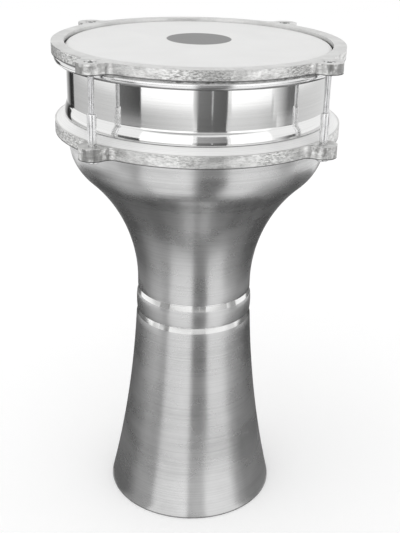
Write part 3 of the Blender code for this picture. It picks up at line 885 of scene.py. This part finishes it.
def lay_floor():
    """A pale matt floor that looks a little brighter where it is seen or mirrored."""
    reach = 12.0
    drop = 0.0001
    glow = 0.075
    bm = bmesh.new()
    bmesh.ops.create_grid(bm, x_segments=1, y_segments=1, size=reach)
    floor = finished(bm, "studio_floor")
    floor.location.z = -drop
    material, tree, shader, coords = new_finish("pale_floor", 0.0, 0.9)
    feed(tree, shader, tint(tree, grain(tree, coords, (4.0, 4.0, 4.0), 3.0), grey(0.94), grey(0.96)))
    shader.inputs["Specular IOR Level"].default_value = 0.0
    rays = add(tree, "ShaderNodeLightPath").outputs
    mirrored = sums(tree, "MAXIMUM", rays["Is Glossy Ray"], rays["Is Transmission Ray"])
    seen = sums(tree, "MAXIMUM", rays["Is Camera Ray"], mirrored)
    shader.inputs["Emission Color"].default_value = grey(1.0)
    tree.links.new(sums(tree, "MULTIPLY", seen, glow), shader.inputs["Emission Strength"])
    floor.data.materials.append(material)


def stand_card(name, side, levels, gain=1.0):
    """A card that only the metal mirrors, bent round the drum.

    Its side is (radius, height) points. Its levels are (bearing, brightness), the bearings in
    degrees from the front, positive to the right, and it reaches from the first to the last.
    """
    first = levels[0][0]
    span = levels[-1][0] - first
    bm = bmesh.new()
    line = [bm.verts.new((*polar(radius, math.radians(first - 90)), z)) for radius, z in side]
    edges = [bm.edges.new(pair) for pair in zip(line, line[1:])]
    bmesh.ops.spin(
        bm, geom=line + edges, cent=(0, 0, 0), axis=(0, 0, 1), dvec=(0, 0, 0),
        angle=math.radians(span), steps=math.ceil(span / CARD_FACET_DEGREES), use_merge=False,
        use_duplicate=False,
    )
    card = finished(bm, name)
    material = bpy.data.materials.new(name)
    material.use_nodes = True
    tree = material.node_tree
    tree.nodes.clear()
    coords = add(tree, "ShaderNodeTexCoord").outputs["Object"]
    place = apart(tree, coords)
    front = sums(tree, "MULTIPLY", place["Y"], -1.0)
    bearing = sums(tree, "ARCTAN2", place["X"], front)
    share = spread(tree, bearing, math.radians(first), math.radians(first + span), 0.0, 1.0)
    level = ramp(tree, share, [((turn - first) / span, level) for turn, level in levels])
    strength = sums(tree, "MULTIPLY", level, gain)
    glow = add(tree, "ShaderNodeEmission", {"Color": grey(1.0), "Strength": strength})
    out = add(tree, "ShaderNodeOutputMaterial")
    tree.links.new(glow.outputs[0], out.inputs[0])
    card.data.materials.append(material)
    card.visible_camera = False
    card.visible_diffuse = False
    card.visible_shadow = False


def lay_card(name, inner, outer, levels, gain=1.0):
    """A card that lies on the floor between two radii."""
    stand_card(name, [(inner, CARD_LIFT), (outer, CARD_LIFT)], levels, gain)


def ring_card(name, bottom, top, levels, gain=1.0, radius=CARD_RADIUS):
    """A card that stands upright between two heights."""
    stand_card(name, [(radius, bottom), (radius, top)], levels, gain)


def narrowed(levels, share):
    """The same levels with their bearings drawn in, for a card close to the drum."""
    inner = [(bearing * share, level) for bearing, level in levels[1:-1]]
    return [levels[0], *inner, levels[-1]]


def lay_tables():
    """Cards on the floor, in rings from the foot outwards, for the foot, the bowl and the wall."""
    table = [
        (-180, 0.1), (-100, 0.17), (-82, 0.35), (-60, 0.42), (-54, 0.45), (-49, 0.88), (-10, 1.0),
        (-5, 1.0), (0, 0.55), (18, 0.62), (24, 0.95), (60, 0.92), (74, 0.42), (90, 0.25), (180, 0.08),
    ]
    near = [
        (-180, 0.08), (-125, 0.08), (-100, 0.35), (-82, 0.5), (-60, 0.42), (-54, 0.45), (-49, 0.88),
        (-10, 1.0), (-4, 0.95), (1, 0.2), (25, 0.2), (31, 0.95), (60, 0.92), (74, 0.42), (90, 0.35),
        (110, 0.2), (130, 0.08), (180, 0.08),
    ]
    middle = [
        (-180, 0.15), (-114, 0.15), (-96, 0.12), (-85, 0.35), (-62, 0.75), (-52, 0.5), (-46, 0.9),
        (-5, 1.0), (-3, 0.95), (0, 0.14), (25, 0.1), (28, 0.95), (60, 0.9), (75, 0.7), (90, 0.3),
        (98, 0.12), (114, 0.15), (180, 0.15),
    ]
    wide = [
        (-180, 0.15), (-152, 0.2), (-138, 0.95), (-86, 0.95), (-80, 0.6), (-62, 0.8), (-58, 0.8),
        (-54, 0.2), (-48, 0.2), (-46, 0.9), (-5, 1.0), (-3, 0.95), (0, 0.14), (25, 0.1), (28, 0.95),
        (60, 0.9), (75, 0.7), (84, 0.7), (90, 0.95), (138, 0.95), (152, 0.2), (180, 0.15),
    ]
    outer = [
        (-180, 0.9), (-130, 0.52), (-100, 0.6), (-67, 0.66), (-46, 0.47), (-5, 0.72), (24, 0.72),
        (50, 0.66), (75, 0.45), (86, 0.52), (94, 0.66), (130, 0.74), (180, 0.9),
    ]
    lay_card("foot_table", 0.0785, 0.11, narrowed(table, 0.62), 1.1)
    lay_card("under_shade", 0.11, 0.22, [(-180, 0.09), (180, 0.09)])
    strips = [(0.11, 0.7, 1.1), (0.175, 0.82, 1.0), (0.24, 0.88, 0.95)]
    for number, (radius, share, gain) in enumerate(strips, start=1):
        levels = narrowed(table, share)
        ring_card(f"low_strip_{number}", CARD_LIFT, 0.03, levels, gain, radius)
    lay_card("near_strip", 0.22, 0.36, narrowed(near, 0.88), 1.15)
    lay_card("near_table", 0.36, 0.5, narrowed(near, 0.94), 1.05)
    lay_card("middle_table", 0.5, 0.72, middle, 1.15)
    lay_card("wide_table", 0.72, 1.0, wide, 1.15)
    lay_card("outer_table", CARD_RADIUS, 2.4, outer)


def stand_flags():
    """Dark flags and bright softboxes round the drum, which draw the streaks down its metal."""
    flag_bottom = 0.12
    flag_top = 0.32
    flags = [
        ("left", [(-67, 0.4), (-46, 0.4)], [(-67, 0.15), (-46, 0.05)]),
        ("front", [(-3, 0.9), (1, 0.75), (24, 0.75)], [(-4, 0.95), (1, 0.2), (24, 0.1)]),
        ("right", [(68, 0.9), (78, 0.4), (90, 0.4)], [(64, 0.85), (79, 0.16), (90, 0.14)]),
    ]
    skirting = [(1.0, CARD_LIFT), (CARD_RADIUS, CARD_LIFT), (CARD_RADIUS, flag_bottom)]
    for side, below, above in flags:
        stand_card(f"{side}_skirting", skirting, below)
        ring_card(f"{side}_flag", flag_bottom, flag_top, above)
    stand = [(11.3, 0.6), (12.3, 0.6)]
    back_left = [(-162, 0.8), (-148, 0.35), (-139, 0.02), (-130, 0.06)]
    ring_card("front_low_flag", 0.225, 0.29, [(0, 0.16), (22, 0.1)], radius=0.6)
    ring_card("front_stand", flag_bottom, flag_top, stand, radius=CARD_RADIUS - 0.02)
    ring_card("front_high_flag", flag_top, 0.9, [(0, 0.4), (24, 0.28)])
    ring_card("back_left_flag", CARD_LIFT, 0.4, back_left)
    ring_card("left_softbox", 0.17, 1.0, [(-46, 0.92), (-3, 1.0)], 1.35)
    ring_card("right_softbox", 0.17, 1.0, [(27, 1.0), (62, 0.85)], 1.4)
    stand_card("ceiling_shade", [(CARD_RADIUS, 1.08), (1.1, 1.2)], [(-180, 0.45), (180, 0.45)])


def place_camera():
    """The photograph's view: 24 degrees down from close by, turned a little clockwise."""
    back = 0.7791
    height = 0.5668
    pitch = 0.41396
    roll = 0.0240
    yaw = -0.00684
    frame_height = 533
    focal_pixels = 926
    camera = bpy.data.cameras.new("camera")
    camera.sensor_width = 36.0
    camera.lens = camera.sensor_width * focal_pixels / frame_height
    camera.clip_start = 0.05
    camera.clip_end = 30.0
    viewer = bpy.data.objects.new("camera", camera)
    level = math.cos(pitch)
    forward = Vector((-math.sin(yaw) * level, math.cos(yaw) * level, -math.sin(pitch)))
    right = Vector((math.cos(yaw), math.sin(yaw), 0.0))
    up = right.cross(forward)
    rolled_right = right * math.cos(roll) + up * math.sin(roll)
    rolled_up = up * math.cos(roll) - right * math.sin(roll)
    axes = Matrix((rolled_right, rolled_up, -forward)).transposed()
    viewer.matrix_world = Matrix.Translation((0.0, -back, height)) @ axes.to_4x4()
    bpy.context.scene.collection.objects.link(viewer)
    bpy.context.scene.camera = viewer


place_camera()
build_drum()
light_studio()
lay_floor()
lay_tables()
stand_flags()
bpy.context.scene.view_settings.view_transform = "Standard"
